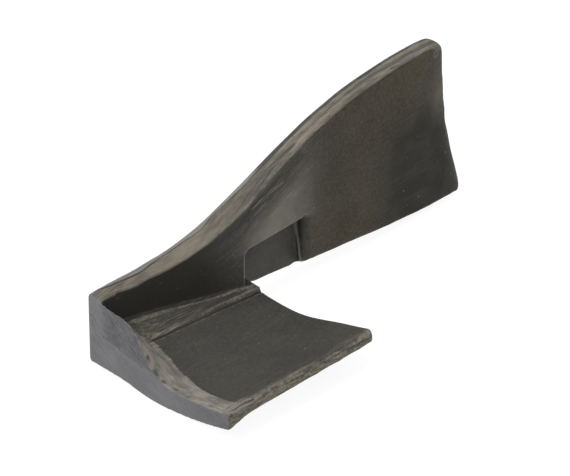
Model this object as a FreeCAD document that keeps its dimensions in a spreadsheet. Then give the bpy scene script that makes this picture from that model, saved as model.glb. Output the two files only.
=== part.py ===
"""Door wedge: one rubber moulding that seals the corner of a vehicle's door opening.

A thin upright fin with an S-shaped ridge runs along the back. Its heel end widens into a dished
foot plate with a raised end cheek and a narrow ledge, and a shallow notch for a weatherstrip is
moulded into its front face. Past the notch the fin leaves the foot behind and ends in a tall blade.

Axes inside the body: X from the heel face to the tail, Y from the front of the foot plate to the
back face of the fin, Z up from the lowest point. The body's Placement then puts the origin at the
centre of the underside of the whole moulding's box.
"""
import FreeCAD, Part

import math
import os
import re

import Sketcher

NODE = "rubber_moulding"

# Driving dimensions in millimetres, except tail_lean, which is in degrees. Heights are measured up
# from the lowest point. Thicknesses, and places that end in _depth, are measured forwards from the
# back face of the fin.
SIZES = {
    # whole moulding
    "length": 118.2,
    "depth": 45.0,
    "foot_length": 45.3,
    # ridge of the fin, seen from the side
    "heel_height": 18.9,
    "flat_end": 21.5,
    "flat_height": 20.5,
    "sweep_end": 39.4,
    "sweep_height": 24.9,
    "sweep_radius": 58.0,
    "crest_start": 66.0,
    "crest_height": 36.0,
    "crest_end": 108.2,
    "ridge_height": 44.4,
    "crest_radius": 105.0,
    "tail_top_round": 2.8,
    "tail_curve": 130.0,
    "tail_lean": 16.3,
    "back_round": 0.6,
    # underside of the fin
    "heel_clearance": 1.9,
    "waist_clearance": 3.2,
    "tail_foot_round": 2.2,
    # thickness of the fin, seen from above
    "blank_thickness": 8.0,
    "heel_thickness": 4.0,
    "heel_bow": 360.0,
    "waist_thickness": 7.0,
    "waist_end": 43.0,
    "blade_thickness": 5.2,
    "blade_start": 66.0,
    "blade_dish": 600.0,
    "tail_thickness": 4.2,
    # notch for the weatherstrip, and the bevel under the blade
    "notch_start": 42.4,
    "notch_end": 63.3,
    "notch_top": 15.6,
    "notch_web": 2.2,
    "notch_round": 1.2,
    "lip_round": 0.9,
    "bevel_rise": 2.4,
    "bevel_notch_height": 2.4,
    "bevel_tail_height": 0.1,
    # foot plate, at the heel face and at its free end
    "root_depth": 2.0,
    "dish_depth": 9.6,
    "nose_round": 1.4,
    "plate_end_round": 0.7,
    "heel_under_back": 2.3,
    "heel_under_front": 5.2,
    "heel_under_radius": 83.0,
    "heel_dish_back": 8.2,
    "heel_dish_front": 7.6,
    "heel_dish_radius": 34.5,
    "end_under_back": 3.3,
    "end_under_front": 6.9,
    "end_under_radius": 82.0,
    "end_dish_back": 5.0,
    "end_dish_front": 9.5,
    "end_dish_radius": 68.5,
    # ledge between the fin and the foot plate
    "ledge_back_depth": 5.0,
    "ledge_front_depth": 8.8,
    "ledge_root": 1.0,
    "ledge_heel_top": 12.4,
    "ledge_heel_step": 8.6,
    "ledge_end_top": 6.2,
    "ledge_end_step": 5.9,
    # raised cheek: its outline in the heel face
    "cheek_under_front": 3.6,
    "cheek_under_radius": 98.0,
    "cheek_back_height": 18.7,
    "shoulder_depth": 10.8,
    "shoulder_height": 17.9,
    "shoulder_radius": 12.0,
    "flank_depth": 17.4,
    "flank_height": 12.9,
    "flank_radius": 10.0,
    "toe_depth": 25.5,
    "toe_height": 6.0,
    "toe_radius": 90.0,
    "cheek_nose_height": 7.3,
    # raised cheek: its inner rim, which ends just inside the foot plate
    "rim_run": 9.0,
    "rim_inset": 0.3,
    "rim_back_height": 7.2,
    "rim_shoulder_height": 6.7,
    "rim_flank_height": 4.3,
    "rim_toe_height": 3.4,
    "rim_nose_height": 7.6,
}
OVERCUT = "1"

document = FreeCAD.newDocument("door_wedge")


# ---------------------------------------------------------------- sizes

def make_sheet():
    """Spreadsheet of the driving dimensions, one named cell each."""
    new_sheet = document.addObject("Spreadsheet::Sheet", "Sizes")
    for row, (name, number) in enumerate(SIZES.items(), start=1):
        new_sheet.set(f"A{row}", name)
        new_sheet.set(f"B{row}", str(number))
        new_sheet.setAlias(f"B{row}", name)
    document.recompute()
    return new_sheet


def bound(text):
    """Expression text with every dimension's name turned into its spreadsheet reference."""
    def reference(match):
        word = match.group()
        return f"Sizes.{word}" if word in SIZES else word

    return re.sub(r"[a-z_]+", reference, text)


def value(text):
    """Present value of an expression in the sizes, in millimetres."""
    return float(sheet.evalExpression(bound(text)))


# ---------------------------------------------------------------- sketches

def new_sketch(name, role, offset="0"):
    """Empty sketch on one of the body's origin planes, moved along its normal by an expression."""
    plane = next(item for item in body.Origin.OriginFeatures if item.Role == role)
    sketch = body.newObject("Sketcher::SketchObject", name)
    sketch.AttachmentSupport = (plane, [""])
    sketch.MapMode = "FlatFace"
    sketch.setExpression("AttachmentOffset.Base.z", bound(offset))
    return sketch


def pin(sketch, side, end, axis, text):
    """Fix one coordinate of a side's end point to an expression."""
    if value(text) == 0:
        line = {"X": -2, "Y": -1}[axis]
        sketch.addConstraint(Sketcher.Constraint("PointOnObject", side, end, line))
        return
    rule = Sketcher.Constraint(f"Distance{axis}", -1, 1, side, end, value(text))
    number = sketch.addConstraint(rule)
    sketch.setExpression(f"Constraints[{number}]", bound(text))


def arc_between(start, end, radius, turn):
    """Shorter arc between two points; turn is 1 for anticlockwise and -1 for clockwise."""
    half_chord = (end - start) / 2
    rise = math.sqrt(radius**2 - half_chord.Length**2)
    left = FreeCAD.Vector(-half_chord.y, half_chord.x, 0).normalize()
    centre = start + half_chord + left * rise * turn
    middle = centre - left * radius * turn
    return Part.Arc(start, middle, end)


def closed_outline(sketch, corners, arcs=None):
    """Closed, fully constrained outline through the corners.

    Each corner is a pair of expressions. A side is straight unless arcs holds the number of the
    corner where it starts, with its radius expression and its turn.
    """
    arcs = arcs or {}
    points = [FreeCAD.Vector(value(across), value(up), 0) for across, up in corners]
    count = len(points)
    ends = []
    for number, start in enumerate(points):
        end = points[(number + 1) % count]
        radius, turn = arcs.get(number, (None, 1))
        if radius:
            sketch.addGeometry(arc_between(start, end, value(radius), turn), False)
        else:
            sketch.addGeometry(Part.LineSegment(start, end), False)
        # a clockwise arc is stored the other way round, so its ends swap
        ends.append((1, 2) if turn > 0 else (2, 1))
    for number in range(count):
        following = (number + 1) % count
        meeting = (number, ends[number][1], following, ends[following][0])
        sketch.addConstraint(Sketcher.Constraint("Coincident", *meeting))
    for number, (across, up) in enumerate(corners):
        pin(sketch, number, ends[number][0], "X", across)
        pin(sketch, number, ends[number][0], "Y", up)
    for number, (radius, turn) in arcs.items():
        rule = sketch.addConstraint(Sketcher.Constraint("Radius", number, value(radius)))
        sketch.setExpression(f"Constraints[{rule}]", bound(radius))


# ---------------------------------------------------------------- features

def pocket(name, sketch, length):
    """Pocket of a sketch by an expression."""
    before = body.Tip.Shape.Volume
    feature = body.newObject("PartDesign::Pocket", name)
    feature.Profile = sketch
    feature.setExpression("Length", bound(length))
    document.recompute()
    check_removal(feature, before)


def loft(kind, name, first, second):
    """Straight additive or subtractive loft between two sketches."""
    before = body.Tip.Shape.Volume if kind == "Subtractive" else None
    feature = body.newObject(f"PartDesign::{kind}Loft", name)
    feature.Profile = first
    feature.Sections = [second]
    feature.Ruled = True
    document.recompute()
    if before:
        check_removal(feature, before)


def check_removal(feature, before):
    """Stop if a cut took nothing away from the volume before it."""
    if feature.Shape.Volume > before - 1:
        raise RuntimeError(f"{feature.Name} removed nothing")


def is_near(number, target):
    """True if a number equals a target to within a twentieth of a millimetre."""
    return abs(number - target) < 0.05


def round_edges(name, radius, test):
    """Round the tip's edges that pass a test of the edge and its middle point."""
    base = body.Tip
    names = []
    for number, edge in enumerate(base.Shape.Edges, start=1):
        middle = edge.valueAt((edge.FirstParameter + edge.LastParameter) / 2)
        if test(edge, middle):
            names.append(f"Edge{number}")
    feature = body.newObject("PartDesign::Fillet", name)
    feature.Base = (base, names)
    feature.setExpression("Radius", bound(radius))
    document.recompute()


# ---------------------------------------------------------------- fin

def make_fin():
    """Upright fin, padded from its side outline and thinned to its plan outline."""
    side = new_sketch("FinSide", "XZ_Plane", "blank_thickness - depth")
    corners = [
        ("0", "heel_clearance"),
        ("foot_length", "waist_clearance"),
        ("length - tail_foot_round", "0"),
        ("length - tail_foot_round * (1 - cos(tail_lean))", "tail_foot_round * (1 + sin(tail_lean))"),
        ("crest_end + tail_top_round", "ridge_height - tail_top_round"),
        ("crest_end", "ridge_height"),
        ("crest_start", "crest_height"),
        ("sweep_end", "sweep_height"),
        ("flat_end", "flat_height"),
        ("0", "heel_height"),
    ]
    arcs = {
        2: ("tail_foot_round", 1),
        3: ("tail_curve", -1),
        4: ("tail_top_round", 1),
        5: ("crest_radius", 1),
        7: ("sweep_radius", -1),
    }
    closed_outline(side, corners, arcs)
    blank = body.newObject("PartDesign::Pad", "FinBlank")
    blank.Profile = side
    blank.Reversed = True
    blank.setExpression("Length", bound("blank_thickness"))
    document.recompute()

    plan = new_sketch("FinPlan", "XY_Plane", f"ridge_height + {OVERCUT}")
    waste_front = f"depth - blank_thickness - {OVERCUT}"
    corners = [
        (f"0 - {OVERCUT}", waste_front),
        (f"length + {OVERCUT}", waste_front),
        (f"length + {OVERCUT}", "depth - tail_thickness"),
        ("blade_start", "depth - blade_thickness"),
        ("waist_end", "depth - waist_thickness"),
        (f"0 - {OVERCUT}", "depth - heel_thickness"),
    ]
    arcs = {
        2: ("blade_dish", -1),
        4: ("heel_bow", 1),
    }
    closed_outline(plan, corners, arcs)
    pocket("FinThinning", plan, f"ridge_height + 2 * {OVERCUT}")


def round_back_edge():
    """Soft edge along the back of the ridge and down the end of the tail."""
    def is_back_rim(edge, middle):
        on_back = all(is_near(vertex.Y, value("depth")) for vertex in edge.Vertexes)
        return on_back and middle.z > value("heel_height / 2") and middle.x > 0

    round_edges("BackRound", "back_round", is_back_rim)


def make_notch():
    """Notch for the weatherstrip, open at the bottom, with a thin web left behind it."""
    mouth = new_sketch("NotchMouth", "XZ_Plane", "blank_thickness - depth")
    corners = [
        ("notch_start", "0"),
        ("notch_end", "0"),
        ("notch_end", "notch_top - notch_round"),
        ("notch_end - notch_round", "notch_top"),
        ("notch_start + notch_round", "notch_top"),
        ("notch_start", "notch_top - notch_round"),
    ]
    arcs = {
        2: ("notch_round", 1),
        4: ("notch_round", 1),
    }
    closed_outline(mouth, corners, arcs)
    pocket("SealNotch", mouth, "blank_thickness - notch_web")


def round_notch_lip():
    """Soft edge where the notch's far wall meets the front face of the blade."""
    def is_lip(edge, middle):
        in_front = middle.y < value("depth - notch_web") - 1
        upright = edge.Length > value("notch_top / 2")
        return is_near(middle.x, value("notch_end")) and in_front and upright

    round_edges("NotchLip", "lip_round", is_lip)


def bevel_blade():
    """Bevel under the blade, which leaves a thin sealing lip along its back."""
    sections = []
    for name, offset, height in (
        ("BevelNotch", "notch_end", "bevel_notch_height"),
        ("BevelTail", f"length + {OVERCUT}", "bevel_tail_height"),
    ):
        section = new_sketch(name, "YZ_Plane", offset)
        corners = [
            ("depth - blank_thickness", f"0 - {OVERCUT}"),
            ("depth - notch_web", height),
            ("depth - blank_thickness", f"{height} + bevel_rise"),
        ]
        closed_outline(section, corners)
        sections.append(section)
    loft("Subtractive", "BladeBevel", *sections)


# ---------------------------------------------------------------- foot

def make_plate():
    """Foot plate, a thin dished sheet that twists slightly from the heel to its free end."""
    sections = []
    for place, offset in (("heel", "0"), ("end", "foot_length")):
        section = new_sketch(f"Plate{place.title()}", "YZ_Plane", offset)
        corners = [
            ("0", f"{place}_under_front"),
            ("depth - root_depth", f"{place}_under_back"),
            ("depth - root_depth", f"{place}_dish_back"),
            ("depth - dish_depth", f"{place}_dish_back"),
            ("nose_round", f"{place}_dish_front"),
            ("0", f"{place}_dish_front - nose_round"),
        ]
        arcs = {
            0: (f"{place}_under_radius", 1),
            3: (f"{place}_dish_radius", -1),
            4: ("nose_round", 1),
        }
        closed_outline(section, corners, arcs)
        sections.append(section)
    loft("Additive", "FootPlate", *sections)


def round_plate_end():
    """Soft upper edge at the plate's free end."""
    def is_upper_end(edge, middle):
        at_end = is_near(middle.x, value("foot_length"))
        on_top = middle.z > value("end_under_back") and middle.y < value("depth - dish_depth")
        return at_end and on_top and edge.Length > value("nose_round")

    round_edges("PlateEndRound", "plate_end_round", is_upper_end)


def make_ledge():
    """Ledge along the foot of the fin, steep at the heel and nearly flat at the free end."""
    sections = []
    for place, offset in (("heel", "0"), ("end", "foot_length")):
        section = new_sketch(f"Ledge{place.title()}", "YZ_Plane", offset)
        corners = [
            ("depth - dish_depth", f"{place}_dish_back - ledge_root"),
            ("depth - root_depth", f"{place}_dish_back - ledge_root"),
            ("depth - root_depth", f"ledge_{place}_top"),
            ("depth - ledge_back_depth", f"ledge_{place}_top"),
            ("depth - ledge_front_depth", f"ledge_{place}_step"),
        ]
        closed_outline(section, corners)
        sections.append(section)
    loft("Additive", "Ledge", *sections)


def make_cheek():
    """Raised cheek at the heel face, whose inner rim slopes down into the dish."""
    face = new_sketch("CheekFace", "YZ_Plane")
    corners = [
        ("0", "cheek_under_front"),
        ("depth - root_depth", "heel_clearance"),
        ("depth - root_depth", "cheek_back_height"),
        ("depth - shoulder_depth", "shoulder_height"),
        ("depth - flank_depth", "flank_height"),
        ("depth - toe_depth", "toe_height"),
        ("nose_round", "cheek_nose_height"),
        ("0", "cheek_nose_height - nose_round"),
    ]
    arcs = {
        0: ("cheek_under_radius", 1),
        3: ("shoulder_radius", 1),
        4: ("flank_radius", -1),
        5: ("toe_radius", -1),
        6: ("nose_round", 1),
    }
    closed_outline(face, corners, arcs)

    rim = new_sketch("CheekRim", "YZ_Plane", "rim_run")
    corners = [
        ("rim_inset", "heel_under_front + 2 * rim_inset"),
        ("depth - root_depth", "heel_under_back + rim_inset"),
        ("depth - root_depth", "rim_back_height"),
        ("depth - shoulder_depth", "rim_shoulder_height"),
        ("depth - flank_depth", "rim_flank_height"),
        ("depth - toe_depth", "rim_toe_height"),
        ("nose_round", "rim_nose_height"),
        ("rim_inset", "rim_nose_height - nose_round"),
    ]
    arcs = {
        0: ("cheek_under_radius", 1),
        3: ("heel_dish_radius", -1),
        4: ("heel_dish_radius", -1),
        5: ("heel_dish_radius", -1),
        6: ("nose_round", 1),
    }
    closed_outline(rim, corners, arcs)
    loft("Additive", "EndCheek", face, rim)


# ---------------------------------------------------------------- build

def check_document():
    """Stop if any object failed, or if the moulding isn't one valid solid."""
    for item in document.Objects:
        if "Invalid" in item.State or "Error" in item.State:
            raise RuntimeError(f"{item.Name} is {item.State}")
    if body.Shape.isNull() or not body.Shape.isValid() or len(body.Shape.Solids) != 1:
        raise RuntimeError("the moulding isn't one valid solid")


sheet = make_sheet()
body = document.addObject("PartDesign::Body", "Moulding")
body.Label = NODE
body.setExpression("Placement.Base.x", "-Sizes.length / 2")
body.setExpression("Placement.Base.y", "-Sizes.depth / 2")

make_fin()
round_back_edge()
make_notch()
round_notch_lip()
bevel_blade()
make_plate()
round_plate_end()
make_ledge()
make_cheek()

document.recompute()
check_document()
os.makedirs("parts", exist_ok=True)
body.Shape.exportStep(f"parts/{NODE}.step")
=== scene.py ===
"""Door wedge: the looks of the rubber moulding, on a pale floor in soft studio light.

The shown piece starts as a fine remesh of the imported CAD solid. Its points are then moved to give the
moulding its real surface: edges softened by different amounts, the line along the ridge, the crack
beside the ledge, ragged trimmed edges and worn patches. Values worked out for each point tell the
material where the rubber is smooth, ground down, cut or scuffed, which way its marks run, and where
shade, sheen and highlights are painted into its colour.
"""

import math
from collections import namedtuple

import bpy
import numpy as np
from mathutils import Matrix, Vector


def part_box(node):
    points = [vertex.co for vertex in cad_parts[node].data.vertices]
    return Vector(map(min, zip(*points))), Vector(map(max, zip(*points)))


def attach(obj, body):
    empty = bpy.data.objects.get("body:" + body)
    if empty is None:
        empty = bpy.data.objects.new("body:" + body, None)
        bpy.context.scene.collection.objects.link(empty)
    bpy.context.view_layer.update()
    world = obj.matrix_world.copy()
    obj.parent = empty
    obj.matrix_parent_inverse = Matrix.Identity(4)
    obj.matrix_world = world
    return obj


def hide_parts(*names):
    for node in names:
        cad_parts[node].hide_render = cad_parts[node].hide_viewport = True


NODE = "rubber_moulding"
MM = 0.001

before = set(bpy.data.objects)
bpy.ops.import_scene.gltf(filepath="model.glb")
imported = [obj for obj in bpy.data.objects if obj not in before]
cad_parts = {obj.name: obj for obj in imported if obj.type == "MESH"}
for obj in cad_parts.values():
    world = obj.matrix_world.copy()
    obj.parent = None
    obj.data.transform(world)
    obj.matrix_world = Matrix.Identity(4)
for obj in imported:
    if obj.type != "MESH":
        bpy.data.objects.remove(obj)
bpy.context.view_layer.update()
LOW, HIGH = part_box(NODE)

# Mesh size of the shown piece, in millimetres
MESH_STEP = 0.25

# Places on the moulding in millimetres: x from the heel face, depth forwards from the back face of
# the fin, and z up from the lowest point.
LENGTH = (HIGH.x - LOW.x) / MM
DEPTH = (HIGH.y - LOW.y) / MM
FOOT_END = 45.3
NOTCH_START = 42.4
NOTCH_END = 63.3
NOTCH_TOP = 15.7
LEDGE_TOP = 13.0
FIN_FOOT = 12.9
NIB_X = 107.5
NIB_Z = 42.0

# One slot for each millimetre of the length
SLOTS = np.arange(0.0, LENGTH + 1.0)

# Largest moves of the points, in millimetres: the tail, the free end of the plate and the heel
TAIL_FULLNESS = 0.4
TAIL_HOLLOW = 1.1
TAIL_DROP = 0.3
NIB_HEIGHT = 0.25
FREE_END_CURL = 1.1
HEEL_ARCH = 0.88
# the ridge and the front of the fin
HEEL_RISE = 0.65
RIDGE_GROOVE = 0.2
VALLEY_HOLLOW = 0.3
NICK_DEPTH = 0.6
FIN_HOLLOW = 0.6
FIN_FLARE = 0.4
WALL_PULL = 0.25
# the ledge, the cheek and the heel face
CRACK_CUT = 0.45
BACK_LIP = 0.12
FRONT_LIP = 0.06
SCORE_HEIGHT = 0.12
RIM_LUMPS = 0.16
RIM_BITES = 0.35
RIPPLE_HEIGHT = 0.16
CREASE_CUT = 0.1
SMEAR_CUT = 0.12
# the front of the foot plate
FRONT_LINE_CUT = 0.2
FRONT_DROP = 0.25

# Fall of the ridge for each millimetre behind its line
RIDGE_BEVEL = 0.08

# Millimetres from crest to crest of the ripples in the rim
RIPPLE_LENGTH = 1.15


# ---------------------------------------------------------------- helpers for values

def smooth_step(low, high, values):
    """Rise from 0 at low to 1 at high, level at both ends; falls when low is above high."""
    part = np.clip((values - low) / (high - low), 0.0, 1.0)
    return part * part * (3.0 - 2.0 * part)


def hump(values, centre, half_width):
    """Smooth hump of height 1 at a centre, gone beyond the half width."""
    return smooth_step(half_width, 0.0, np.abs(values - centre))


def between(values, low, high, soft):
    """1 between two limits and 0 outside them, with soft ends."""
    return smooth_step(low - soft, low + soft, values) * smooth_step(high + soft, high - soft, values)


def curve(*stops):
    """Function that joins stops of (place, value) with smooth rises and falls."""
    def along(places):
        total = np.full(np.shape(places), float(stops[0][1]))
        for (start, before), (end, after) in zip(stops, stops[1:]):
            total += (after - before) * smooth_step(start, end, places)
        return total

    return along


def wander(points, size, seed):
    """Smooth seeded noise from -1 to 1 at points in millimetres.

    The size of its features is one number, or one for each of x, depth and z.
    """
    cells = 32
    table = np.random.default_rng(seed).uniform(-1.0, 1.0, (cells, cells, cells))
    scaled = points / size
    corner = np.floor(scaled).astype(int)
    part = scaled - corner
    part = part * part * (3.0 - 2.0 * part)
    total = np.zeros(len(points))
    for number in range(8):
        offset = np.array([number & 1, number >> 1 & 1, number >> 2 & 1])
        weight = np.prod(np.where(offset, part, 1.0 - part), axis=1)
        total += weight * table[tuple(((corner + offset) % cells).T)]
    return total


def outermost(places, values):
    """Largest of the values in each millimetre of the places."""
    number = np.clip(np.round(places).astype(int), 0, len(SLOTS) - 1)
    found = np.zeros(len(SLOTS))
    np.maximum.at(found, number, values)
    return found


# ---------------------------------------------------------------- fine mesh

class Skin:
    """The fine mesh of the moulding, with its points in millimetres as x, depth and z.

    `raised` is how far bend_ridge() has lifted each point.
    """

    def __init__(self, node, name):
        source = bpy.data.objects.new(name + "_source", node.data.copy())
        bpy.context.scene.collection.objects.link(source)
        remesh = source.modifiers.new("Remesh", "REMESH")
        remesh.mode = "VOXEL"
        remesh.voxel_size = MESH_STEP * MM
        ready = source.evaluated_get(bpy.context.evaluated_depsgraph_get())
        self.mesh = bpy.data.meshes.new_from_object(ready)
        self.mesh.name = name
        bpy.data.objects.remove(source)
        self.mesh.materials.clear()
        place = self.read(self.mesh.vertices, "co", 3)
        self.at = np.stack([
            (place[:, 0] - LOW.x) / MM,
            (HIGH.y - place[:, 1]) / MM,
            (place[:, 2] - LOW.z) / MM,
        ], axis=1)
        self.raised = np.zeros(len(self.at))
        self.ends = self.read(self.mesh.edges, "vertices", 2, np.int32)
        self.degree = np.bincount(self.ends.ravel(), minlength=len(self.at))[:, None]

    @staticmethod
    def read(items, name, width, kind=np.float64):
        """One property of all the mesh's items, as rows."""
        flat = np.zeros(len(items) * width, kind)
        items.foreach_get(name, flat)
        return flat.reshape(-1, width)

    def write_places(self):
        """Give the points back to the mesh."""
        place = np.stack([
            self.at[:, 0] * MM + LOW.x,
            HIGH.y - self.at[:, 1] * MM,
            self.at[:, 2] * MM + LOW.z,
        ], axis=1)
        self.mesh.vertices.foreach_set("co", place.ravel())
        self.mesh.update()

    def outward(self):
        """Outward direction at each point, as x, depth and z."""
        self.write_places()
        return self.read(self.mesh.vertices, "normal", 3) * np.array([1.0, -1.0, 1.0])

    def neighbour_mean(self, values):
        """Mean of the neighbours' values at each point."""
        columns = values.reshape(len(values), -1)
        total = np.zeros_like(columns)
        for number in range(columns.shape[1]):
            column = columns[:, number]
            for here, there in ((0, 1), (1, 0)):
                weights = column[self.ends[:, there]]
                total[:, number] += np.bincount(self.ends[:, here], weights, len(column))
        return (total / self.degree).reshape(values.shape)

    def relax(self, rounds, weight):
        """Move the points towards their neighbours' mean, by a weight for each point."""
        for _ in range(rounds):
            self.at += (self.neighbour_mean(self.at) - self.at) * weight[:, None]

    def straighten_edges(self, rounds):
        """Take out the small steps that the remesh leaves along sharp edges, and keep them sharp."""
        sharp = smooth_step(0.1, 0.28, np.abs(self.bend()))[:, None]
        pull = sharp + 0.001
        reach = self.neighbour_mean(pull)
        for _ in range(rounds):
            along = self.neighbour_mean(self.at * pull) / reach
            self.at += (along - self.at) * sharp * 0.6

    def soften(self, values, rounds):
        """Values blurred over the surface."""
        for _ in range(rounds):
            values = (values + self.neighbour_mean(values)) / 2
        return values

    def bend(self):
        """How sharply the surface turns at each point: above 0 on edges, below 0 in grooves."""
        outward = self.outward()
        lift = ((self.at - self.neighbour_mean(self.at)) * outward).sum(axis=1)
        return lift / MESH_STEP

    def store(self, name, values):
        """Keep a number or a direction for each point, for the material."""
        plain = values.ndim == 1
        layer = self.mesh.attributes.new(name, "FLOAT" if plain else "FLOAT_VECTOR", "POINT")
        layer.data.foreach_set("value" if plain else "vector", values.ravel().astype(np.float32))


class Layout:
    """Where each point lies on the moulding, measured from the parts it is made of.

    The lift given by bend_ridge() is taken off again, so that a place keeps its numbers.
    """

    def __init__(self, skin):
        self.x, self.depth, self.z = skin.at.T.copy()
        self.z -= skin.raised
        self.outward = skin.outward()
        # height of the ridge over each point, and the ridge's slope there as an angle
        top = outermost(self.x, self.z)
        slope = np.gradient(np.convolve(np.pad(top, 4, "edge"), np.ones(9) / 9, "valid"))
        self.lean = np.arctan(np.interp(self.x, SLOTS, slope))
        self.top = np.interp(self.x, SLOTS, top)
        # how far each point lies from the end of the tail
        self.to_end = np.interp(self.z, SLOTS, outermost(self.z, self.x)) - self.x
        # how far each point lies under the ridge, square to it
        self.drop = (self.top - self.z) * np.cos(self.lean)
        self.on_ridge = smooth_step(1.3, 0.5, self.drop)
        self.up = smooth_step(0.1, 0.4, self.outward[:, 2])
        # 1 from a millimetre under the top of the ledge downwards
        self.under_top = smooth_step(LEDGE_TOP, LEDGE_TOP - 1.0, self.z)
        self.fin_front = fin_front(self.x)
        # the front of the fin, where it stands above the foot and past it
        facing = smooth_step(0.4, 0.8, self.outward[:, 1]) * smooth_step(2.4, 3.0, self.depth)
        clear = smooth_step(12.0, 14.0, self.z) + smooth_step(FOOT_END - 2.0, FOOT_END, self.x)
        self.on_front = facing * np.clip(clear, 0, 1) * smooth_step(9.0, 8.0, self.depth)
        # how far each point lies in front of the crack beside the ledge
        self.past_crack = self.depth - crack_depth(self.x) - wander(skin.at, 3.0, 11) * 0.12
        low_foot = smooth_step(9.8, 8.8, self.z) * between(self.x, 8.7, FOOT_END + 2.0, 0.8)
        self.by_crack = self.up * low_foot
        self.on_heel = smooth_step(-0.6, -0.9, self.outward[:, 0]) * smooth_step(1.0, 0.4, self.x)

    def by_fin_front(self, far, near):
        """Rise from 0 at far to 1 at near, in millimetres behind the front of the fin."""
        return smooth_step(self.fin_front - far, self.fin_front - near, self.depth)

    def by_plate_front(self, far, near):
        """Rise from 0 at far to 1 at near, in millimetres behind the front of the foot plate."""
        return smooth_step(DEPTH - far, DEPTH - near, self.depth)


# by x: thickness of the fin, then the depths of the line behind the ridge's ground band, of the crack
# and of the foot of the wall
fin_front = curve((0.0, 4.0), (28.0, 6.5), (43.0, 7.0), (66.0, 5.1), (90.0, 5.0), (LENGTH, 4.2))
line_depth = curve((0.0, 0.4), (7.0, 1.5), (14.0, 2.0), (22.0, 1.4), (27.0, 1.5), (32.5, 2.0), (38.0, 1.3),
                   (48.0, 1.6), (LENGTH, 1.3))
crack_depth = curve((9.0, 10.0), (FOOT_END, 9.3))
wall_foot = curve((9.0, 5.1), (FOOT_END, 6.9))

# crease across the heel face: its height by depth
crease_height = curve((1.0, 14.2), (5.0, 10.0), (13.0, 8.8), (18.5, 7.8), (27.0, 5.2))

# middle of the smooth valley that crosses the ridge, by x
valley_depth = curve((39.0, 6.2), (46.0, 4.6), (55.0, 3.5), (80.0, 2.7), (104.0, 3.2))

# height of the ragged dark line above the plate's front face, by x
front_line = curve((0.0, 6.9), (6.0, 7.3), (18.0, 7.9), (FOOT_END, 8.4))

# depth at which the notch's far wall starts to round over, by height
notch_line = curve((3.0, 4.1), (6.0, 3.5), (13.0, 2.5))

# how far the blade's low edge hangs lower, by x
blade_drop = curve((56.0, 0.35), (61.0, 0.5), (64.5, 0.05), (76.0, 0.15), (92.0, 0.5), (103.0, 0.5),
                   (LENGTH - 2.0, 0.0))

# how far the ridge's back and front edges are raised, by x
back_rise = curve((12.0, 0.0), (20.0, 0.38), (32.0, 0.68), (46.0, 0.74), (58.0, 1.1), (66.0, 1.05),
                  (76.0, 0.55), (92.0, 0.0))
front_rise = curve((0.0, -0.35), (6.0, -0.4), (10.0, -1.0), (16.0, -0.75), (24.0, -0.7), (31.0, -0.4),
                   (38.0, 0.1), (46.0, 0.7), (56.0, 1.05), (63.0, 0.65), (76.0, 0.5), (92.0, 0.0))


# ---------------------------------------------------------------- shape

def build_skin(node):
    """Fine mesh of the CAD solid, with every part of its surface shaped."""
    skin = Skin(node, "rubber_wedge")
    count = len(skin.at)
    skin.straighten_edges(30)
    skin.relax(2, np.full(count, 0.5))
    shape_ends(skin)
    shape_ridge(skin)
    shape_fin_front(skin)
    shape_notch_wall(skin)
    shape_ledge(skin)
    shape_cheek(skin)
    shape_heel_face(skin)
    shape_plate_front(skin)
    bend_ridge(skin)
    skin.relax(1, np.full(count, 0.3))
    skin.write_places()
    return skin


def shape_ends(skin):
    """Tail end with a moulding nib, curled-up free end of the plate, and the underside's arches."""
    # x, depth and z are views, so each move below starts from the ones before it
    x, depth, z = skin.at.T
    near_end = smooth_step(LENGTH - 12.0, LENGTH - 4.0, x)
    skin.at[:, 0] += near_end * hump(z, 7.0, 9.0) * TAIL_FULLNESS
    end_edge = smooth_step(LENGTH - 16.0, LENGTH - 9.0, x)
    skin.at[:, 0] -= end_edge * hump(z, 28.8, 12.5) * TAIL_HOLLOW
    end_corner = smooth_step(LENGTH - 13.0, LENGTH - 6.5, x) * smooth_step(36.0, 44.0, z)
    skin.at[:, 2] -= end_corner * TAIL_DROP
    skin.at[:, 1] += nib_ring(x, z) * smooth_step(3.8, 4.2, depth) * NIB_HEIGHT
    free_end = smooth_step(FOOT_END - 16.0, FOOT_END, x) * smooth_step(FOOT_END + 3.0, FOOT_END + 1.0, x)
    skin.at[:, 2] += free_end * hump(depth, 35.0, 15.0) * FREE_END_CURL
    under_heel = smooth_step(7.0, 3.0, z) * smooth_step(FOOT_END, 0.0, x)
    skin.at[:, 2] += under_heel * hump(depth, 10.5, 11.0) * HEEL_ARCH
    # the blade's low edge falls by 3 mm over the 66 mm from the notch to the tail
    above_low_edge = z - 3.1 + (x - 48.0) * 3.0 / 66.0
    low_edge = smooth_step(9.0, 1.0, above_low_edge) * smooth_step(FOOT_END + 1.0, 51.0, x)
    skin.at[:, 2] -= low_edge * blade_drop(x)


def nib_ring(x, z):
    """Moulding nib near the top of the tail: 1 on its ring and below 0 in its middle."""
    off = np.hypot(x - NIB_X, z - NIB_Z)
    return hump(off, 0.75, 0.5) - hump(off, 0.0, 0.5) * 0.5


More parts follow.
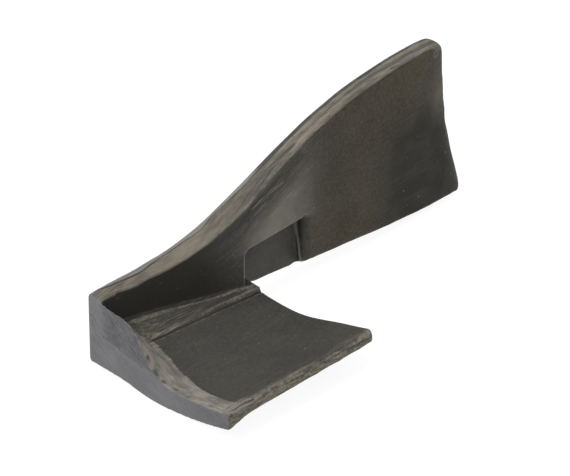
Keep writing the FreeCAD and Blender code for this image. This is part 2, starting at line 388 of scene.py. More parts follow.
def shape_ridge(skin):
    """Ridge: front edge rounder towards the tail, line behind the ground band, valley and nicks."""
    here = Layout(skin)
    near_front = smooth_step(3.5, 1.0, here.drop) * here.by_fin_front(3.0, 1.0)
    skin.relax(50, smooth_step(38.0, 72.0, here.x) * near_front * 0.6)
    near_tail = smooth_step(LENGTH - 11.0, LENGTH - 6.0, here.x) * smooth_step(3.0, 1.0, here.drop)
    skin.relax(60, near_tail * 0.6)
    here = Layout(skin)
    line = line_depth(here.x)
    slope = np.clip(line - here.depth, 0.0, None) * RIDGE_BEVEL
    groove = hump(here.depth, line, 0.45) * RIDGE_GROOVE * smooth_step(26.0, 14.0, here.x)
    hollow = hump(here.depth, valley_depth(here.x), 1.5) * smooth_step(38.0, 45.0, here.x) * VALLEY_HOLLOW
    hollow *= smooth_step(LENGTH - 8.0, LENGTH - 18.0, here.x)
    rough = wander(skin.at, (4.0, 1.2, 4.0), 3) * 0.07 * smooth_step(line, line + 0.8, here.depth)
    rough += wander(skin.at, (7.0, 0.6, 7.0), 5) * 0.05 * smooth_step(50.0, 60.0, here.x)
    heel_rise = smooth_step(22.0, 4.0, here.x) * HEEL_RISE
    skin.at[:, 2] += here.on_ridge * (heel_rise - slope - groove - hollow - rough)
    # nicks where the flash was trimmed off the front edge
    nicks = np.clip(wander(skin.at, (1.8, 9.0, 9.0), 4), 0, 1) * smooth_step(24.0, 8.0, here.x)
    nicks *= NICK_DEPTH
    edge = smooth_step(1.6, 0.6, here.drop) * here.by_fin_front(1.2, 0.4)
    skin.at[:, 1] -= edge * nicks * smooth_step(0.6, 2.0, here.x)


def bend_ridge(skin):
    """Ridge raised past the sweep, and rolled down at its front edge towards the heel."""
    here = Layout(skin)
    weight = smooth_step(FIN_FOOT, here.top, here.z)
    share = smooth_step(0.5, here.fin_front - 0.5, here.depth)
    lift = back_rise(here.x) * (1.0 - share) + front_rise(here.x) * share
    skin.raised = lift * weight * smooth_step(11.0, 7.4, here.depth)
    skin.at[:, 2] += skin.raised


def shape_fin_front(skin):
    """Hollow under the ridge's front edge that flares out above the notch."""
    here = Layout(skin)
    reach = between(here.x, 34.0, 64.0, 9.0) * here.on_front
    hollow = hump(here.drop, 2.0, 2.2) * FIN_HOLLOW
    flare = smooth_step(4.0, 10.0, here.drop) * smooth_step(13.0, 17.0, here.z) * FIN_FLARE
    skin.at[:, 1] += reach * (flare - hollow)


def shape_notch_wall(skin):
    """Far wall of the notch: rounded over into the blade from a line that starts lower near the top."""
    here = Layout(skin)
    run = here.x - NOTCH_END
    low = smooth_step(16.6, 15.0, here.z)
    # a quarter round, from 0.3 mm before the wall to 1.4 mm past it
    rise = np.clip((run + 0.3) / 1.7, 0.0, 1.0)
    foot = notch_line(here.z)
    limit = foot + (here.fin_front + 0.1 - foot) * np.sqrt(1.0 - (1.0 - rise) ** 2)
    inside = smooth_step(-0.6, -0.4, run) * smooth_step(2.2, 1.6, run) * low
    skin.at[:, 1] -= inside * np.clip(here.depth - limit, 0.0, None)
    around = smooth_step(-1.0, -0.4, run) * smooth_step(2.6, 1.8, run) * low
    skin.relax(12, around * smooth_step(1.6, 2.2, here.depth) * 0.6)
    near_line = hump(skin.at[:, 1], foot, 0.7) * hump(skin.at[:, 0], NOTCH_END + 0.1, 0.9) * low
    skin.at[:, 0] -= near_line * WALL_PULL


def shape_ledge(skin):
    """Crack along the front of the ledge, with a rough lip on each side."""
    here = Layout(skin)
    side = here.past_crack
    crack = hump(side, 0.0, 0.42) * -CRACK_CUT
    back_lip = hump(side, -0.7, 0.6) * BACK_LIP
    front_lip = hump(side, 0.8, 0.6) * FRONT_LIP
    rough = 1.0 + wander(skin.at, 1.2, 12) * 0.8
    skin.at[:, 2] += here.by_crack * (crack + (back_lip + front_lip) * rough)
    # scored start of the ledge beside the cheek
    scored = here.up * between(here.x, 5.0, 22.0, 5.0) * between(side, -4.8, -0.6, 0.4)
    marks = wander(skin.at, (4.0, 0.6, 4.0), 13) * SCORE_HEIGHT
    skin.at[:, 2] += scored * marks * here.under_top


def shape_cheek(skin):
    """Worn, uneven rim between the heel face and the dish."""
    here = Layout(skin)
    rim = here.up * smooth_step(0.0, 1.0, here.x) * smooth_step(10.0, 7.0, here.x)
    rim *= smooth_step(6.0, 10.0, here.depth)
    lumps = wander(skin.at, (2.0, 5.0, 5.0), 21) * RIM_LUMPS + wander(skin.at, 0.9, 22) * 0.05
    bites = np.clip(wander(skin.at, (9.0, 1.3, 1.3), 26), 0, 1) * smooth_step(2.0, 0.5, here.x)
    skin.at += here.outward * (rim * (lumps - bites * RIM_BITES))[:, None]
    skin.at[:, 2] += ripple(skin, here) * RIPPLE_HEIGHT


def ripple(skin, here):
    """Torn ripples at the front corner of the rim, from -1 in their troughs to 1 on their crests."""
    corner = between(here.x, 1.0, 8.5, 1.5) * here.up * here.by_plate_front(5.5, 3.5)
    bent = here.depth + wander(skin.at, 2.4, 24) * 0.5 - here.x * 0.12
    return corner * np.sin(bent * 2.0 * math.pi / RIPPLE_LENGTH)


def shape_heel_face(skin):
    """Faint crease and shallow smears in the cut face."""
    here = Layout(skin)
    crease = hump(off_crease(skin, here), 0.0, 0.8) * CREASE_CUT * smooth_step(27.0, 20.0, here.depth)
    smears = np.clip(wander(skin.at, (9.0, 1.2, 1.2), 25), 0, 1) * SMEAR_CUT
    skin.at[:, 0] += here.on_heel * (crease + smears * scuffed(here))


def off_crease(skin, here):
    """How far each point lies above the wavering crease of the heel face."""
    return here.z - crease_height(here.depth) + wander(skin.at, 4.0, 23) * 0.3


def scuffed(here):
    """Part of the heel face, between the crease and the cheek, that is scuffed most."""
    above = smooth_step(-1.0, 1.0, here.z - crease_height(here.depth))
    return above * between(here.depth, 5.0, 25.0, 3.0)


def shape_plate_front(skin):
    """Granular front face of the foot plate, a ragged line above it and a rounded free corner."""
    here = Layout(skin)
    front = here.by_plate_front(1.0, 0.3)
    grain = wander(skin.at, 0.8, 31) * 0.05 + wander(skin.at, 2.6, 32) * 0.05
    skin.at[:, 1] += front * (grain - 0.05)
    line = hump(off_front_line(skin, here), 0.0, 0.4) * here.by_plate_front(1.4, 0.8)
    line *= 0.5 + 0.5 * wander(skin.at, 3.0, 34)
    skin.at[:, 1] -= line * FRONT_LINE_CUT
    low_edge = here.by_plate_front(9.0, 1.0) * smooth_step(8.6, 6.6, here.z)
    skin.at[:, 2] -= low_edge * smooth_step(30.0, 42.0, here.x) * FRONT_DROP
    skin.relax(10, between(here.x, FOOT_END - 3.0, FOOT_END + 2.0, 1.0) * front * here.up * 0.6)


def off_front_line(skin, here):
    """How far each point lies above the ragged line on the front of the foot plate."""
    return here.z - front_line(here.x) - wander(skin.at, 1.6, 33) * 0.3


def shown_piece(skin):
    """The shaped mesh as a smooth-shaded object of the scene."""
    piece = bpy.data.objects.new("rubber_wedge", skin.mesh)
    bpy.context.scene.collection.objects.link(piece)
    skin.mesh.polygons.foreach_set("use_smooth", np.ones(len(skin.mesh.polygons), bool))
    return piece


# ---------------------------------------------------------------- finish, painted shade and sheen of each point

# How strongly the sharpness of an edge shows as wear
EDGE_GAIN = 6.0

# Slant of the smears on the heel face, in degrees
HEEL_SLANT = 33.0


def store_finishes(skin):
    """Work out where each finish lies, which way its marks run, and where shade, sheen and highlights are
    painted.
    """
    here = Layout(skin)
    borders = {
        "ground": ridge_ground(here),
        "pale": ridge_pale(here),
        "combed": np.maximum(smooth_step(44.0, 58.0, here.x), smooth_step(16.0, 4.0, here.x) * 0.6),
        "slope": back_slope(here),
        "worn": rim_worn(here),
        "coarse": np.maximum(plate_front_torn(here), ledge_torn(here)),
        "cut": here.on_heel,
        "scuffed": scuffed(here) * here.on_heel,
    }
    for name, values in borders.items():
        skin.store(name, skin.soften(np.clip(values, 0, 1), 1))
    # pale lines, partly wear and partly painted highlight; the ripple crests are painted pale as highlights
    pale_lines = np.maximum(notch_edges(here), smooth_step(0.2, 0.9, ripple(skin, here)))
    marks = {
        "valley": valley(here),
        "streak": streaks(here),
        "painted_sheen_and_dust": painted_sheen_and_dust(here),
        "shade": shade(here),
        "blade_painted_shade": blade_painted_shade(here),
        "brown": brown(here),
        "groove": shade_lines_and_flecks(skin, here),
        "edge": np.clip(skin.soften(skin.bend(), 1) * EDGE_GAIN, 0, 1),
        "pale_line": np.clip(skin.soften(pale_lines, 1), 0, 1),
        "grain": grain_places(skin, here),
    }
    for name, values in marks.items():
        skin.store(name, values)


def ridge_ground(here):
    """Ground band on top of the ridge, in front of the line and out to the rounded tail."""
    band = smooth_step(1.0, 0.4, here.drop) * smooth_step(LENGTH - 4.0, LENGTH - 9.0, here.x)
    band *= smooth_step(line_depth(here.x) - 0.1, line_depth(here.x) + 0.2, here.depth)
    return band * (1.0 - valley(here) * 0.9)


def ridge_pale(here):
    """How pale the ground band is: palest at the sweep and again on the back half past it."""
    level = curve((0.0, 0.35), (12.0, 0.5), (26.0, 0.75), (38.0, 0.5), (50.0, 0.25), (62.0, 0.85),
                  (82.0, 0.65), (97.0, 0.8), (107.0, 0.75), (LENGTH, 0.3))(here.x)
    past = smooth_step(46.0, 60.0, here.x)
    front_fade = smooth_step(3.4, 5.0, here.depth) * 0.35
    olive = hump(here.depth, 2.7, 0.7) * 0.5
    return level - past * (front_fade + olive)


def back_slope(here):
    """Moulded strip behind the line on the ridge, painted paler as a sheen."""
    behind = smooth_step(line_depth(here.x), line_depth(here.x) - 0.3, here.depth)
    amount = curve((1.0, 0.8), (22.0, 1.0), (44.0, 1.0), (60.0, 0.0))(here.x)
    return here.on_ridge * behind * amount * smooth_step(LENGTH - 1.0, LENGTH - 9.0, here.x)


def valley(here):
    """Smooth darker valley that crosses the band past the sweep and shows again near the tail."""
    width = curve((40.0, 0.2), (50.0, 1.2), (58.0, 0.8), (66.0, 0.0), (76.0, 0.3), (86.0, 0.9), (104.0, 0.6))
    across = smooth_step(0.0, 0.7, hump(here.depth, valley_depth(here.x), 1.1) * width(here.x))
    return here.on_ridge * across * smooth_step(38.0, 43.0, here.x)


def rim_worn(here):
    """Worn rim between the heel face and the dish."""
    inner = curve((6.0, 6.0), (10.0, 10.0), (14.0, 9.8), (22.0, 8.2), (30.0, 6.6), (DEPTH, 5.6))(here.depth)
    rim = smooth_step(inner + 1.0, inner - 0.3, here.x) * smooth_step(-0.2, 0.1, here.x)
    fade = curve((4.0, 0.0), (9.0, 0.5), (14.0, 0.75), (21.0, 0.95), (28.0, 0.95), (36.0, 0.65),
                 (DEPTH, 0.7))(here.depth)
    return here.up * rim * fade


def plate_front_torn(here):
    """Rough front face of the foot plate, and the scratched band along its upper edge."""
    front = here.by_plate_front(0.9, 0.4) * smooth_step(0.0, 0.4, here.x) * 0.75
    width = curve((8.0, 3.6), (22.0, 3.2), (33.0, 0.9), (38.0, 1.2), (FOOT_END, 2.6))(here.x)
    band = smooth_step(DEPTH - width, DEPTH - width + 1.6, here.depth) * smooth_step(3.0, 6.0, here.x)
    return np.maximum(front, band * here.up * 0.6)


def ledge_torn(here):
    """Rough strips beside the crack and at the foot of the wall."""
    on_top = here.up * between(here.x, 8.0, FOOT_END, 1.0) * smooth_step(12.8, 11.4, here.z)
    side = here.past_crack
    back_edge = here.depth - wall_foot(here.x)
    lips = hump(side, -0.65, 0.6) * 0.55 + hump(side, 0.6, 0.5) * 0.5 + hump(back_edge, 0.25, 0.55) * 0.75
    start = curve((9.0, 0.52), (28.0, 0.1), (FOOT_END, 0.4))(here.x) * between(side, -5.0, -0.2, 0.4)
    return on_top * (lips + start)


def streaks(here):
    """Fine scratches on the front of the fin, the ridge, the ledge and the foot plate."""
    fin = here.on_front * between(here.x, 37.0, 64.0, 8.0) * smooth_step(20.0, 3.0, here.drop)
    blade = here.on_front * smooth_step(40.0, 60.0, here.x) * 0.07
    ledge = here.up * between(here.depth, 4.5, 10.0, 0.5) * here.under_top * 0.9
    foot = here.up * smooth_step(10.0, 11.0, here.depth) * smooth_step(9.0, 11.0, here.x) * 0.1
    rim = here.up * here.by_plate_front(5.0, 2.0) * 0.7
    ridge = here.on_ridge * smooth_step(40.0, 56.0, here.x) * 0.8
    return np.maximum.reduce([fin, blade, ledge, foot, rim, ridge])


def painted_sheen_and_dust(here):
    """Painted sheen above the notch and down the tail, and faint pale dust on the upward faces of the foot.
    """
    above_notch = between(here.x, 43.0, 62.0, 8.0) * smooth_step(4.0, 9.0, here.drop)
    above_notch *= smooth_step(14.5, 15.5, here.z)
    tail = smooth_step(7.0, 0.5, here.to_end) * between(here.z, 26.0, 37.0, 6.0)
    foot = here.up * smooth_step(8.5, 9.5, here.depth) * here.under_top * 0.04
    return np.clip(here.on_front * (above_notch + tail * 0.58) + foot, 0, 1)


def shade(here):
    """Painted shade: the untouched wall, under the ridge's edge, the notch's far wall; the heel face darker
    at its front end.
    """
    behind_ledge = smooth_step(0.3, -0.3, here.depth - wall_foot(here.x)) * smooth_step(3.0, 4.0, here.depth)
    behind_ledge *= smooth_step(1.2, 2.0, here.drop) * smooth_step(1.0, 1.6, here.x)
    wall = np.maximum(here.on_front, behind_ledge) * smooth_step(41.0, 29.0, here.x)
    under_edge = here.on_front * between(here.x, 34.0, 56.0, 6.0) * hump(here.drop, 2.0, 2.4) * 0.55
    run = here.x - NOTCH_END
    notch_wall = smooth_step(-0.5, 0.0, run) * smooth_step(2.6, 1.2, run) * smooth_step(16.5, 15.5, here.z)
    notch_wall *= smooth_step(1.8, 2.2, here.depth) * (here.outward[:, 1] > -0.5)
    heel_front = here.on_heel * smooth_step(24.0, 37.0, here.depth) * 0.5
    return np.maximum.reduce([wall, under_edge, notch_wall * 0.65, heel_front])


def blade_painted_shade(here):
    """Painted shade on the blade, low down towards the tail and short of its edge."""
    low_tail = here.on_front * smooth_step(82.0, 99.0, here.x) * smooth_step(36.0, 21.0, here.z)
    return low_tail * smooth_step(-2.0, 5.0, here.to_end)


def brown(here):
    """Brown tint of the blade, weaker at its tail end."""
    uneven = here.x + wander(np.stack([here.x, here.depth, here.z], axis=1), 11.0, 44) * 7.0
    return here.on_front * smooth_step(42.0, 82.0, uneven) * (0.5 + 0.5 * smooth_step(112.0, 96.0, uneven))


def shade_lines_and_flecks(skin, here):
    """Dark lines: painted shade in the crack, the ridge's lines, the plate's front line, the rim's ripple
    troughs and the heel face's crease, and real dark flecks along the rim's border.
    """
    crack = hump(here.past_crack, 0.0, 0.36) * here.by_crack
    behind_band = hump(here.depth, line_depth(here.x), 0.36) * here.on_ridge
    dashes = smooth_step(-0.1, 0.35, wander(skin.at, (1.6, 9.0, 9.0), 42))
    whole = smooth_step(24.0, 17.0, here.x) * smooth_step(0.5, 2.0, here.x) * 0.75
    behind_band *= np.maximum(whole, dashes * smooth_step(50.0, 30.0, here.x) * 0.35)
    front = hump(off_front_line(skin, here), 0.0, 0.34) * here.by_plate_front(1.6, 0.9) * here.outward[:, 1]
    front *= 0.55 + 0.45 * wander(skin.at, 3.0, 34)
    valley_edge = hump(here.depth, valley_depth(here.x) + 0.8, 0.3) * here.on_ridge
    valley_edge *= between(here.x, 43.0, 56.0, 3.0) * 0.6
    ridge_front = hump(here.drop, 0.7, 0.35) * here.by_fin_front(1.2, 0.7)
    ridge_front *= between(here.x, 72.0, 104.0, 5.0) * 0.55
    flecks = smooth_step(-0.1, 0.4, wander(skin.at, (2.0, 1.3, 1.3), 43))
    flecks *= hump(here.x, 0.8, 1.2) * between(here.depth, 9.0, 32.0, 3.0) * here.up * 0.75
    ripples = smooth_step(0.3, 0.9, -ripple(skin, here)) * 0.7
    off = off_crease(skin, here)
    crease = hump(off, 0.0, 0.4) * here.on_heel * smooth_step(22.0, 12.0, here.depth) * 0.3
    lines = [crack, behind_band, front, valley_edge, ridge_front, flecks, ripples, crease]
    return np.clip(np.maximum.reduce(lines), 0, 1)


def notch_edges(here):
    """Pale lines, partly wear and partly painted highlight: the notch's near edge, top edge and far wall,
    and the nib near the tail.
    """
    low = smooth_step(15.6, 14.8, here.z)
    far = hump(here.depth, notch_line(here.z), 0.45) * hump(here.x, NOTCH_END, 0.7) * low * 1.6
    at_front = here.by_fin_front(1.2, 0.6) * (here.depth < 8.5)
    near = hump(here.x, NOTCH_START, 0.6) * low * smooth_step(8.0, 9.0, here.z)
    top = hump(here.z, NOTCH_TOP, 0.5) * between(here.x, NOTCH_START, 54.0, 2.0) * 0.8
    nib = nib_ring(here.x, here.z) * here.on_front * 0.45
    return np.maximum(far, np.maximum(near, top) * at_front) * (here.outward[:, 1] > -0.5) + nib


def grain_places(skin, here):
    """Places stretched along the marks of each part: first along them, then across."""
    along_ridge = here.x / np.cos(here.lean)
    places = np.stack([along_ridge, here.depth + np.clip(here.drop, 0, None), here.z * 0.2], axis=1)

    def set_places(part, along, across, through):
        places[part] = np.stack([along, across, through], axis=1)[part]

    # the foot's marks run along x, with their distance followed down the dish and up to its front
    on_foot = (here.depth > 4.0) & (here.z < LEDGE_TOP) & (here.x < FOOT_END + 1.0) & (here.up > 0.5)
    on_foot |= here.depth > 12.0
    down_then_up = np.where(here.depth < 20.0, here.depth - here.z, here.depth + here.z - 9.0)
    set_places(on_foot, here.x, down_then_up, here.z * 0.1)
    # the rim's marks run along the rim
    on_rim = (here.x < 8.0) & (here.depth > 8.0) & (here.up > 0.5)
    set_places(on_rim, (here.depth - here.z) * 0.75, here.x * 1.4, here.z * 0.1)
    # the heel face's smears slant down to the front
    slant = math.radians(HEEL_SLANT)
    lengthwise = here.depth * math.cos(slant) - here.z * math.sin(slant)
    crosswise = here.depth * math.sin(slant) + here.z * math.cos(slant)
    set_places(here.on_heel > 0.5, lengthwise, crosswise, here.x)
    places[:, 1] += wander(skin.at, 12.0, 41) * 0.5
    return places


# ---------------------------------------------------------------- material

def tone(red, green, blue):
    """Linear colour from the usual 0 to 255 screen values."""
    parts = [channel / 255 for channel in (red, green, blue)]
    return tuple(((part + 0.055) / 1.055) ** 2.4 for part in parts) + (1.0,)


class Paint:
    """Short names for building one material out of shader nodes."""

    def __init__(self, name):
        self.material = bpy.data.materials.new(name)
        self.material.use_nodes = True
        self.tree = self.material.node_tree
        self.surface = self.tree.nodes["Principled BSDF"]

    def node(self, kind, inputs, **settings):
        """New node with its settings, and its inputs set to values or linked to other outputs."""
        made = self.tree.nodes.new(kind)
        for name, setting in settings.items():
            setattr(made, name, setting)
        for key, source in inputs.items():
            if isinstance(source, bpy.types.NodeSocket):
                self.tree.links.new(source, made.inputs[key])
            else:
                made.inputs[key].default_value = source
        return made

    def field(self, name):
        """Number kept for each point of the mesh."""
        return self.node("ShaderNodeAttribute", {}, attribute_name=name).outputs["Fac"]

    def places(self, name):
        """Direction or place kept for each point of the mesh."""
        return self.node("ShaderNodeAttribute", {}, attribute_name=name).outputs["Vector"]

    def millimetres(self):
        """Place on the object in millimetres."""
        place = self.node("ShaderNodeTexCoord", {}).outputs["Object"]
        return self.stretch(place, (1 / MM, 1 / MM, 1 / MM))

    def stretch(self, place, factors):
        """Place multiplied by a factor along each axis."""
        made = self.node("ShaderNodeVectorMath", {0: place, 1: factors}, operation="MULTIPLY")
        return made.outputs[0]

    def noise(self, place, size, detail=2.0, roughness=0.5):
        """Smooth noise with features of a size in millimetres, or of a size along each axis."""
        if isinstance(size, tuple):
            place, size = self.stretch(place, tuple(1 / part for part in size)), 1.0
        inputs = {"Vector": place, "Scale": 1 / size, "Detail": detail, "Roughness": roughness}
        return self.node("ShaderNodeTexNoise", inputs).outputs["Fac"]

    def cells(self, place, size):
        """Distance to the nearest of scattered points, in cell sizes, and a number for each cell."""
        made = self.node("ShaderNodeTexVoronoi", {"Vector": place, "Scale": 1 / size})
        return made.outputs["Distance"], made.outputs["Color"]

    def maths(self, operation, *parts):
        """One operation done on two parts, then on the result and the next part."""
        total = parts[0]
        for part in parts[1:]:
            total = self.node("ShaderNodeMath", {0: total, 1: part}, operation=operation).outputs[0]
        return total

    def sum(self, *parts):
        return self.maths("ADD", *parts)

    def product(self, *parts):
        return self.maths("MULTIPLY", *parts)

    def step(self, low, high, value, to_low=0.0, to_high=1.0):
        """Smooth change from to_low at low to to_high at high."""
        inputs = {"Value": value, "From Min": low, "From Max": high, "To Min": to_low, "To Max": to_high}
        made = self.node("ShaderNodeMapRange", inputs, interpolation_type="SMOOTHSTEP")
        return made.outputs["Result"]

    def mix(self, amount, below, above):
        """Colour that goes from below to above as amount goes from 0 to 1."""
        return self.node("ShaderNodeMixRGB", {0: amount, 1: below, 2: above}).outputs[0]

    def blend(self, amount, below, above):
        """Number that goes from below to above as amount goes from 0 to 1."""
        made = self.node("ShaderNodeMix", {0: amount, 2: below, 3: above}, data_type="FLOAT")
        return made.outputs[0]

    def ragged(self, name, place, size, raggedness):
        """Stored finish with a ragged border, as 0 to 1."""
        noise = self.product(self.sum(self.noise(place, size, 3.0, 0.6), -0.5), raggedness)
        return self.step(0.3, 0.7, self.sum(self.field(name), noise))


# A finish has a colour, a height in millimetres and a roughness
Finish = namedtuple("Finish", "colour height roughness")

# Dust, one row for each size of speck: size of the cells it is scattered in, in millimetres, its
# radius in cells, and the share of the cells that stay clean
DUST = ((1.8, 0.09, 0.62), (0.9, 0.13, 0.8), (5.0, 0.045, 0.4))

# How strongly the rubber mirrors its surroundings
SPECULAR = 0.18


def lay(paint, amount, below, above):
    """One finish laid over another by an amount."""
    return Finish(
        paint.mix(amount, below.colour, above.colour),
        paint.blend(amount, below.height, above.height),
        paint.blend(amount, below.roughness, above.roughness),
    )


def satin_finish(paint, place, grain):
    """Moulded rubber: satin black, clouded, browner on the blade, finely grained."""
    cloud = paint.step(0.35, 0.65, paint.noise(place, 11.0, 3.0))
    mottle = paint.noise(place, 0.9, 4.0, 0.65)
    grit = paint.noise(place, 0.26, 2.0)
    neutral = paint.mix(cloud, tone(50, 49, 47), tone(55, 54, 51))
    brownish = paint.mix(cloud, tone(42, 36, 18), tone(50, 42, 21))
    colour = paint.mix(paint.field("brown"), neutral, brownish)
    colour = paint.mix(paint.step(0.35, 0.75, mottle, 0.0, 0.5), colour, tone(70, 67, 61))
    colour = paint.mix(paint.step(0.5, 0.8, grit, 0.0, 0.6), colour, tone(86, 82, 74))
    colour = paint.mix(paint.step(0.5, 0.2, grit, 0.0, 0.5), colour, tone(40, 38, 34))
    # painted shade on the wall, under the ridge's edge and on the notch's far wall
    colour = paint.mix(paint.product(paint.field("shade"), 0.8), colour, tone(38, 37, 33))
    # painted shade low on the blade, towards the tail
    colour = paint.mix(paint.product(paint.field("blade_painted_shade"), 0.95), colour, tone(24, 22, 16))
    # painted sheen above the notch and down the tail; faint dust on the foot's upward faces
    painted_sheen_and_dust = paint.product(paint.field("painted_sheen_and_dust"), paint.step(0.3, 0.7, paint.noise(place, 7.0, 3.0), 0.6, 1.0))
    colour = paint.mix(painted_sheen_and_dust, colour, tone(107, 102, 94))
    comb = paint.noise(grain, (16.0, 0.5, 1.0), 3.0, 0.65)
    combed = paint.product(paint.field("streak"), paint.step(0.48, 0.68, comb))
    colour = paint.mix(paint.product(combed, 0.42), colour, tone(96, 92, 84))
    height = paint.sum(paint.product(grit, 0.03), paint.product(mottle, 0.04), paint.product(combed, 0.04))
    roughness = paint.step(0.3, 0.7, paint.noise(place, 5.0, 3.0), 0.44, 0.6)
    return Finish(colour, height, roughness)


def ground_finish(paint, place, grain):
    """Rubber ground down to a matt tan grey, with short marks along the stroke and a few pits."""
    patch = paint.noise(grain, (5.0, 1.3, 2.0), 4.0, 0.6)
    marks = paint.noise(grain, (3.0, 0.16, 0.6), 3.0, 0.65)
    grit = paint.noise(place, 0.3, 3.0, 0.65)
    rough = paint.step(0.0, 1.0, paint.field("combed"), 0.2, 1.0)
    level = paint.sum(paint.field("pale"), paint.step(0.3, 0.7, patch, -0.22, 0.22))
    colour = paint.mix(paint.step(0.0, 1.0, level), tone(72, 70, 65), tone(114, 107, 96))
    pale = paint.product(paint.step(0.45, 0.7, marks, 0.0, 0.65), rough)
    colour = paint.mix(pale, colour, tone(142, 135, 120))
    dark = paint.product(paint.step(0.5, 0.3, marks, 0.0, 0.6), rough)
    colour = paint.mix(dark, colour, tone(62, 59, 53))
    colour = paint.mix(paint.step(0.45, 0.2, grit, 0.0, 0.6), colour, tone(64, 60, 53))
    distance, number = paint.cells(place, 1.3)
    pit = paint.product(paint.step(0.19, 0.1, distance), paint.step(0.68, 0.72, number))
    colour = paint.mix(paint.product(pit, 0.85), colour, tone(52, 49, 45))
    height = paint.sum(paint.product(marks, 0.08), paint.product(grit, 0.08), paint.product(pit, -0.12))
    return Finish(colour, height, 0.9)


def worn_finish(paint, place, grain):
    """Rubber rubbed smooth and pale, with a dark flecked border."""
    patch = paint.noise(place, 4.0, 5.0, 0.6)
    strokes = paint.noise(grain, (4.0, 0.3, 1.0), 4.0, 0.65)
    grit = paint.noise(place, 0.3, 3.0, 0.65)
    colour = paint.mix(paint.step(0.35, 0.65, patch), tone(104, 100, 94), tone(136, 130, 121))
    colour = paint.mix(paint.step(0.5, 0.7, strokes, 0.0, 0.4), colour, tone(156, 150, 139))
    colour = paint.mix(paint.step(0.47, 0.3, strokes, 0.0, 0.4), colour, tone(70, 67, 61))
    colour = paint.mix(paint.step(0.45, 0.2, grit, 0.0, 0.6), colour, tone(70, 66, 60))
    height = paint.sum(paint.product(strokes, 0.12), paint.product(grit, 0.08))
    return Finish(colour, height, 0.85)


def coarse_finish(paint, place, grain):
    """Torn rubber: granular, with pale crests and dark pits."""
    lump = paint.noise(place, 0.8, 5.0, 0.65)
    strokes = paint.noise(grain, (3.2, 0.32, 1.0), 4.0, 0.65)
    body = paint.sum(paint.product(lump, 0.45), paint.product(strokes, 0.55))
    colour = paint.mix(paint.step(0.4, 0.56, body), tone(70, 67, 60), tone(110, 106, 95))
    colour = paint.mix(paint.step(0.54, 0.68, body, 0.0, 0.6), colour, tone(144, 139, 126))
    return Finish(colour, paint.product(body, 0.3), 0.9)


def sheen_strip_finish(paint, place, grain):
    """Smooth strip behind the ridge's line, painted pale as a sheen."""
    streak = paint.step(0.35, 0.65, paint.noise(grain, (9.0, 0.3, 1.0), 4.0, 0.6))
    colour = paint.mix(streak, tone(96, 94, 90), tone(122, 120, 116))
    return Finish(colour, 0.0, 0.7)


def valley_finish(paint, place, grain):
    """Smooth bluish valley that runs along the ridge."""
    streak = paint.step(0.3, 0.7, paint.noise(grain, (7.0, 0.25, 1.0), 4.0, 0.6))
    return Finish(paint.mix(streak, tone(60, 58, 57), tone(86, 82, 79)), 0.0, 0.5)


def cut_finish(paint, place, grain):
    """Cut face at the heel: bluish grey with soft smears, darker scuffs and fine grain."""
    smear = paint.noise(grain, (7.0, 1.0, 1.0), 5.0, 0.65)
    cloud = paint.noise(place, 6.0, 3.0, 0.6)
    grit = paint.noise(place, 0.28, 3.0, 0.65)
    body = paint.sum(paint.product(smear, 0.5), paint.product(cloud, 0.5))
    colour = paint.mix(paint.step(0.4, 0.6, body), tone(84, 84, 87), tone(96, 95, 99))
    colour = paint.mix(paint.step(0.4, 0.7, grit, 0.0, 0.45), colour, tone(112, 111, 112))
    colour = paint.mix(paint.step(0.5, 0.25, grit, 0.0, 0.5), colour, tone(62, 62, 64))
    scuff = paint.noise(grain, (3.6, 0.32, 1.0), 5.0, 0.65)
    limit = paint.step(0.0, 1.0, paint.field("scuffed"), 0.62, 0.48)
    dark = paint.step(0.0, 0.1, paint.sum(scuff, paint.product(limit, -1.0)))
    colour = paint.mix(paint.product(paint.field("scuffed"), 0.3), colour, tone(66, 66, 68))
    colour = paint.mix(paint.product(dark, 0.55), colour, tone(46, 46, 48))
    # the heel face darker towards its front end
    colour = paint.mix(paint.product(paint.field("shade"), 0.8), colour, tone(72, 72, 73))
    height = paint.sum(paint.product(grit, 0.03), paint.product(smear, 0.08), paint.product(dark, -0.03))
    return Finish(colour, height, 0.66)


def add_marks(paint, place, grain, below):
    """Hair scratches, worn edges, pale lines partly of painted highlight, dark lines mostly of painted
    shade, and dust over a finish.
    """
    hair = paint.step(0.58, 0.66, paint.noise(grain, (11.0, 0.17, 1.0), 2.0))
    gaps = paint.step(0.42, 0.58, paint.noise(grain, (7.0, 1.5, 1.0), 2.0))
    hair = paint.product(hair, gaps, paint.field("streak"))
    colour = paint.mix(paint.product(hair, 0.85), below.colour, tone(136, 131, 121))
    wear = paint.product(paint.field("edge"), paint.step(0.35, 0.6, paint.noise(place, 1.4, 3.0)))
    colour = paint.mix(paint.product(wear, 0.55), colour, tone(122, 117, 108))
    # pale lines, partly wear and partly painted highlight
    pale = paint.product(
        paint.field("pale_line"),
        paint.step(0.3, 0.5, paint.noise(place, 1.2, 3.0), 0.5, 1.0),
    )
    colour = paint.mix(paint.product(pale, 0.75), colour, tone(126, 122, 113))
    # dark lines: painted shade in the crack, the cut lines, troughs and crease, and dark flecks at the rim
    colour = paint.mix(paint.product(paint.field("groove"), 0.9), colour, tone(30, 29, 27))
    height = paint.sum(below.height, paint.product(hair, 0.03))
    for size, radius, clean in DUST:
        distance, number = paint.cells(place, size)
        speck = paint.product(
            paint.step(radius, radius * 0.6, distance),
            paint.step(clean, clean + 0.03, number),
        )
        colour = paint.mix(paint.product(speck, 0.5), colour, tone(136, 130, 114))
        height = paint.sum(height, paint.product(speck, 0.04))
    return Finish(colour, height, below.roughness)


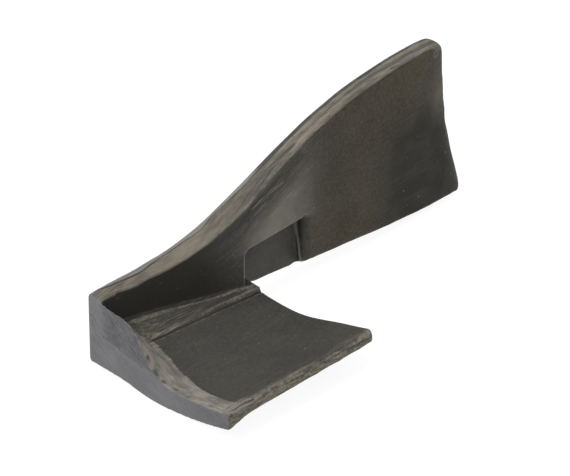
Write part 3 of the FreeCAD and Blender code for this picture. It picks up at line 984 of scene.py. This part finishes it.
# Finishes with ragged borders, the lowest first: field, finish, size of the raggedness in
# millimetres along, across and through the marks, and its strength
RAGGED_FINISHES = (
    # the strip behind the ridge's line, painted pale as a sheen
    ("slope", sheen_strip_finish, (4.0, 0.5, 1.0), 0.6),
    ("ground", ground_finish, (3.0, 0.3, 1.0), 1.0),
    ("worn", worn_finish, (2.4, 0.5, 1.0), 1.2),
    ("coarse", coarse_finish, (3.0, 0.35, 1.0), 1.3),
)


def rubber_material():
    """The rubber: every finish laid over the satin one, then marks and dust."""
    paint = Paint("moulded_rubber")
    place = paint.millimetres()
    grain = paint.places("grain")
    parts = (paint, place, grain)
    finish = satin_finish(*parts)
    finish = lay(paint, paint.field("valley"), finish, valley_finish(*parts))
    for name, make_finish, size, raggedness in RAGGED_FINISHES:
        finish = lay(paint, paint.ragged(name, grain, size, raggedness), finish, make_finish(*parts))
    finish = lay(paint, paint.field("cut"), finish, cut_finish(*parts))
    finish = add_marks(*parts, finish)
    relief = paint.node("ShaderNodeBump", {"Height": finish.height, "Distance": MM})
    surface = {"Base Color": finish.colour, "Roughness": finish.roughness, "Normal": relief.outputs[0]}
    for name, source in surface.items():
        paint.tree.links.new(source, paint.surface.inputs[name])
    paint.surface.inputs["Specular IOR Level"].default_value = SPECULAR
    return paint.material


# ---------------------------------------------------------------- stage

# Camera: it looks across the heel at the front of the fin.
VIEW_TURN = -45.0
VIEW_RISE = 30.0
VIEW_DISTANCE = 0.899
VIEW_AIM = Vector((-0.0183, 0.0012, 0.0258))
LENS = 252.6

# Floor: half its side and the gap under the moulding in metres, its colour and how much it glows
FLOOR_SIDE = 6.0
FLOOR_GAP = 0.0002
FLOOR_GREY = 0.12
FLOOR_GLOW = 0.91

# Strength of the surroundings, as light and as the camera sees them
WORLD_LIGHT = 0.85
WORLD_SEEN = 1.1


def aim(thing, turn, rise, distance):
    """Put a camera or a light at a turn and a rise, in degrees, so that it looks at the moulding."""
    turn, rise = math.radians(turn), math.radians(rise)
    level = math.cos(rise)
    back = Vector((math.sin(turn) * level, -math.cos(turn) * level, math.sin(rise)))
    thing.location = VIEW_AIM + back * distance
    thing.rotation_mode = "QUATERNION"
    thing.rotation_quaternion = (-back).to_track_quat("-Z", "Y")
    bpy.context.scene.collection.objects.link(thing)


def make_floor():
    """Pale floor, lit from within as a light table is, so that shadows stay faint."""
    side = FLOOR_SIDE
    mesh = bpy.data.meshes.new("floor")
    corners = [(-side, -side, 0), (side, -side, 0), (side, side, 0), (-side, side, 0)]
    mesh.from_pydata(corners, [], [(0, 1, 2, 3)])
    floor = bpy.data.objects.new("floor", mesh)
    floor.location.z = LOW.z - FLOOR_GAP
    bpy.context.scene.collection.objects.link(floor)
    paint = Paint("floor_paint")
    paint.surface.inputs["Base Color"].default_value = (FLOOR_GREY, FLOOR_GREY, FLOOR_GREY, 1)
    paint.surface.inputs["Roughness"].default_value = 0.9
    paint.surface.inputs["Emission Color"].default_value = (1, 1, 1, 1)
    paint.surface.inputs["Emission Strength"].default_value = FLOOR_GLOW
    mesh.materials.append(paint.material)


def make_light(name, turn, rise, distance, size, power):
    """Square soft light aimed at the moulding: its distance and size in metres, its power in watts."""
    data = bpy.data.lights.new(name, "AREA")
    data.shape = "SQUARE"
    data.size = size
    data.energy = power
    light = bpy.data.objects.new(name, data)
    light.visible_camera = False
    aim(light, turn, rise, distance)


def make_world():
    """Even soft light from all round, and a backdrop as white as the floor."""
    world = bpy.data.worlds.new("studio")
    world.use_nodes = True
    tree = world.node_tree
    seen = tree.nodes.new("ShaderNodeLightPath").outputs["Is Camera Ray"]
    strength = tree.nodes.new("ShaderNodeMix")
    strength.inputs[2].default_value = WORLD_LIGHT
    strength.inputs[3].default_value = WORLD_SEEN
    tree.links.new(seen, strength.inputs[0])
    background = tree.nodes["Background"]
    background.inputs["Color"].default_value = (1, 1, 1, 1)
    tree.links.new(strength.outputs[0], background.inputs["Strength"])
    bpy.context.scene.world = world
    bpy.context.scene.view_settings.view_transform = "Standard"


def make_camera():
    """Camera at the photo's point of view."""
    data = bpy.data.cameras.new("camera")
    data.lens = LENS
    camera = bpy.data.objects.new("camera", data)
    aim(camera, VIEW_TURN, VIEW_RISE, VIEW_DISTANCE)
    bpy.context.scene.camera = camera


# ---------------------------------------------------------------- build

skin = build_skin(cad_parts[NODE])
store_finishes(skin)
piece = shown_piece(skin)
skin.mesh.materials.append(rubber_material())
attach(piece, "root")
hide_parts(NODE)

make_floor()
make_world()
make_light("key", turn=-100, rise=50, distance=1.2, size=0.8, power=12)
make_camera()
